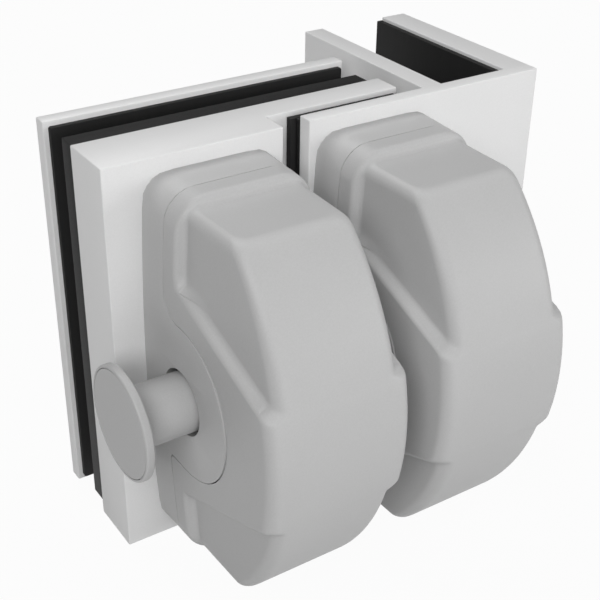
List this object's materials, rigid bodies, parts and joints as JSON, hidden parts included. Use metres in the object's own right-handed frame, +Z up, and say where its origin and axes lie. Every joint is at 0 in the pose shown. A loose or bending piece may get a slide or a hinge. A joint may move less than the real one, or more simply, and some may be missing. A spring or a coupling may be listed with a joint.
{
  "type": "shower door latch",
  "caption": "Surface latch for a glass shower door at a right angle to a fixed panel: clamped door half with a sprung pull bolt, and a keeper half with a glass channel.",
  "frame": {"origin": "on the front face of the door glass, at the middle of the plates' height, in the middle of the gap between the door plate and the keeper plate", "axes": "+X across the door from the pull knob to the fixed panel, +Y away from the housings towards the room behind the glass, +Z up"},
  "size_m": [0.127, 0.1074, 0.1],
  "materials": {
    "white_plate": "fine satin white powder coat on aluminium",
    "grey_housing": "fine matt grey coat on a moulded shell",
    "black_rubber": "matt black EPDM",
    "steel": "plain stainless steel",
    "dark_steel": "blackened steel",
    "bush_plastic": "matt black acetal"
  },
  "bodies": {
    "latch": {"door_plate": "white_plate", "front_gasket": "black_rubber", "rear_gasket": "black_rubber", "rear_plate": "white_plate", "clamp_screws": "steel", "glass_sleeves": "bush_plastic", "tongue_pad": "black_rubber", "latch_base": "grey_housing", "latch_cover": "grey_housing", "latch_cover_screws": "steel", "knob_bush": "bush_plastic", "bolt_bush": "bush_plastic", "return_spring": "steel", "keeper_plate": "white_plate", "keeper_back_pad": "black_rubber", "outer_glass_pad": "black_rubber", "inner_glass_pad": "black_rubber", "pressure_plate": "steel", "set_screws": "dark_steel", "keeper_base": "grey_housing", "keeper_cover": "grey_housing", "keeper_cover_screws": "steel", "strike_bush": "bush_plastic"},
    "pull_bolt": {"bolt": "steel", "knob": "grey_housing", "knob_cap": "grey_housing", "spring_washer": "steel", "retaining_ring": "dark_steel"}
  },
  "joints": [
    {"name": "knob_pull", "type": "slide", "parent": "latch", "child": "pull_bolt", "axis": [-1, 0, 0], "range_m": [0, 0.01], "stiffness_N_per_m": 990, "springref_m": -0.0047, "deforming": ["return_spring"]}
  ]
}
